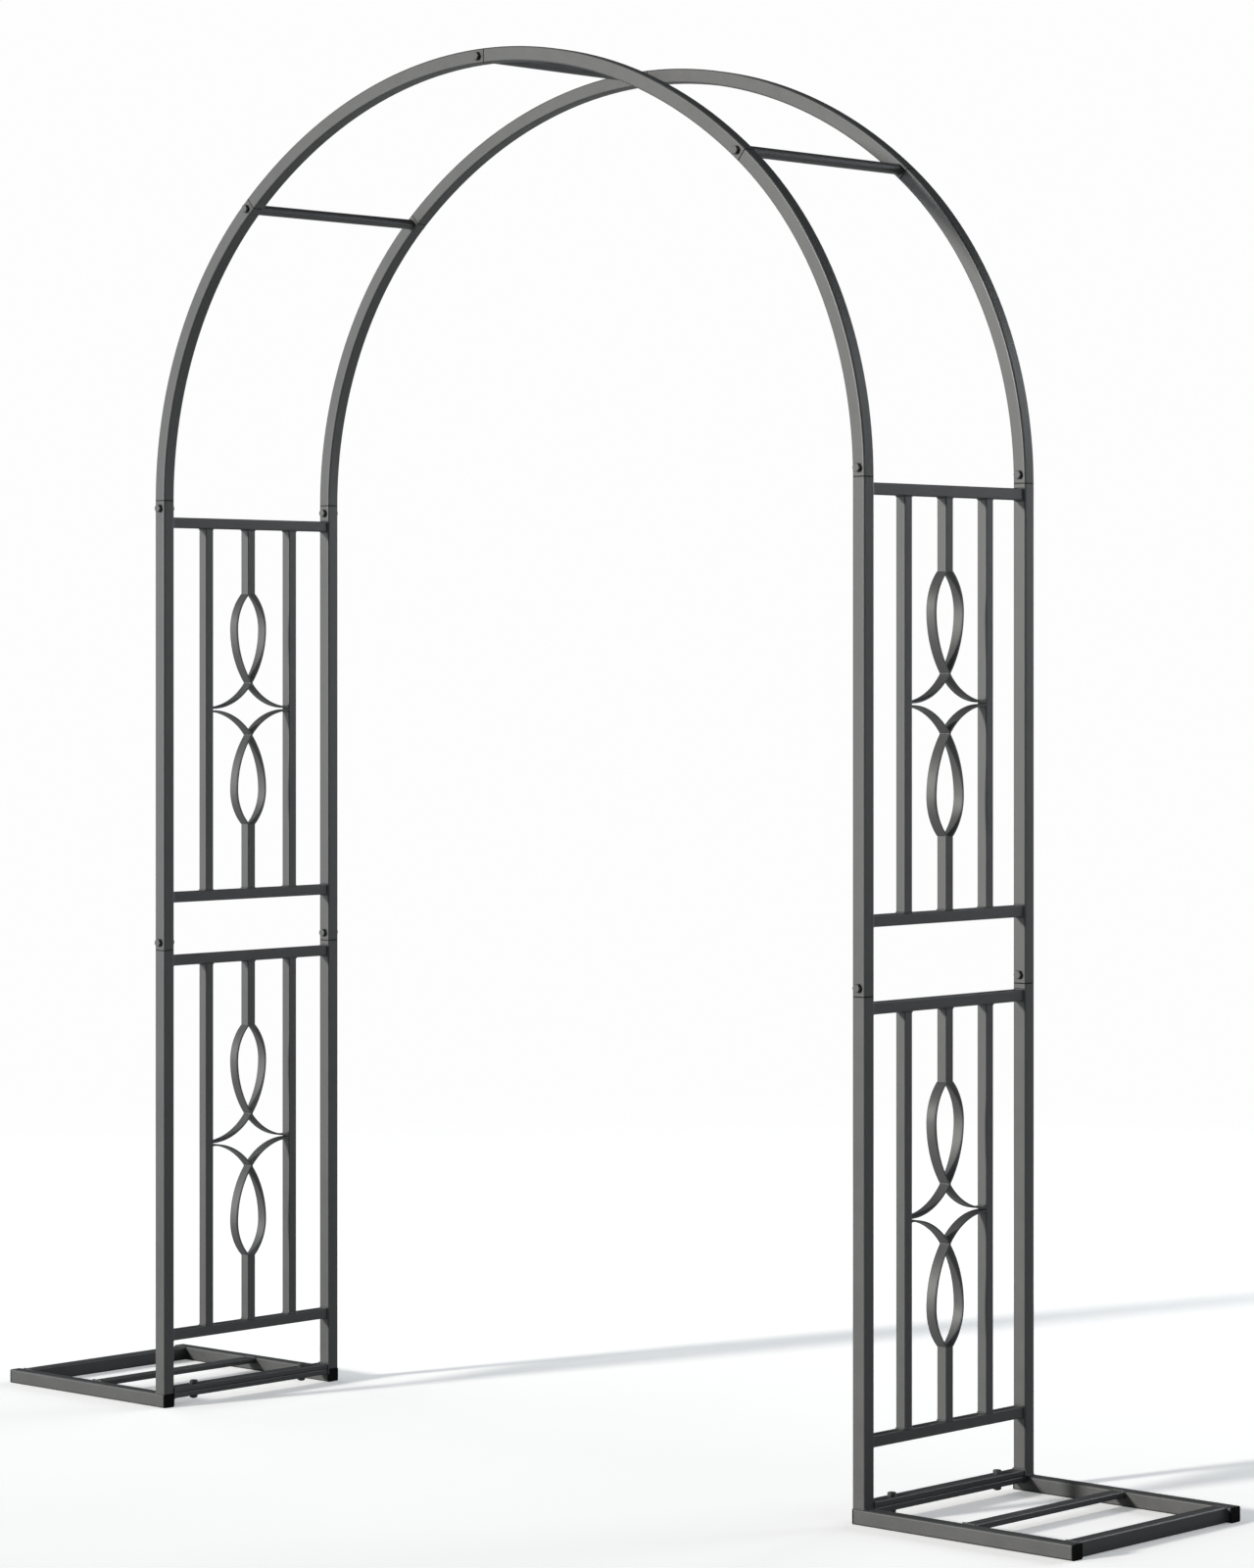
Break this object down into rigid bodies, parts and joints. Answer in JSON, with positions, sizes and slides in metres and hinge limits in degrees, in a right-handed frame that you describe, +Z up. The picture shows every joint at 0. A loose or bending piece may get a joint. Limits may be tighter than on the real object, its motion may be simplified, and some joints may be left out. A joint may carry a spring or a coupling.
{
  "type": "garden trellis arch",
  "caption": "Free-standing steel trellis arch: scroll-filled square-tube side panels on outward base frames, joined overhead by a curved tube arch with crossbars.",
  "frame": {"origin": "centre of the footprint, on the ground plane under the runners", "axes": "+X across the walkway from the left tower to the right tower, -Y is the front, +Z up"},
  "size_m": [2.5, 0.449, 2.4],
  "materials": {
    "powder_coat": "charcoal satin powder coat",
    "cap_plastic": "black moulded plastic",
    "fasteners": "dark grey painted bolts and nuts"
  },
  "bodies": {
    "root": {"left_base_front_runner": "powder_coat", "left_base_back_runner": "powder_coat", "left_base_outer_rail": "powder_coat", "left_base_middle_rail": "powder_coat", "left_base_inner_rail": "powder_coat", "right_base_front_runner": "powder_coat", "right_base_back_runner": "powder_coat", "right_base_outer_rail": "powder_coat", "right_base_middle_rail": "powder_coat", "right_base_inner_rail": "powder_coat", "left_lower_front_post": "powder_coat", "left_lower_back_post": "powder_coat", "left_lower_top_rail": "powder_coat", "left_lower_bottom_rail": "powder_coat", "left_lower_foot_rail": "powder_coat", "left_lower_front_bar": "powder_coat", "left_lower_back_bar": "powder_coat", "left_lower_stubs": "powder_coat", "left_lower_scroll": "powder_coat", "right_lower_front_post": "powder_coat", "right_lower_back_post": "powder_coat", "right_lower_top_rail": "powder_coat", "right_lower_bottom_rail": "powder_coat", "right_lower_foot_rail": "powder_coat", "right_lower_front_bar": "powder_coat", "right_lower_back_bar": "powder_coat", "right_lower_stubs": "powder_coat", "right_lower_scroll": "powder_coat", "left_upper_front_post": "powder_coat", "left_upper_back_post": "powder_coat", "left_upper_top_rail": "powder_coat", "left_upper_bottom_rail": "powder_coat", "left_upper_front_bar": "powder_coat", "left_upper_back_bar": "powder_coat", "left_upper_stubs": "powder_coat", "left_upper_scroll": "powder_coat", "right_upper_front_post": "powder_coat", "right_upper_back_post": "powder_coat", "right_upper_top_rail": "powder_coat", "right_upper_bottom_rail": "powder_coat", "right_upper_front_bar": "powder_coat", "right_upper_back_bar": "powder_coat", "right_upper_stubs": "powder_coat", "right_upper_scroll": "powder_coat", "front_arch_left_haunch": "powder_coat", "front_arch_left_crown": "powder_coat", "front_arch_right_crown": "powder_coat", "front_arch_right_haunch": "powder_coat", "back_arch_left_haunch": "powder_coat", "back_arch_left_crown": "powder_coat", "back_arch_right_crown": "powder_coat", "back_arch_right_haunch": "powder_coat", "left_crossbar": "powder_coat", "top_crossbar": "powder_coat", "right_crossbar": "powder_coat", "end_caps": "cap_plastic", "joint_bolts": "fasteners", "base_bolts": "fasteners", "nuts": "fasteners"}
  },
  "joints": []
}
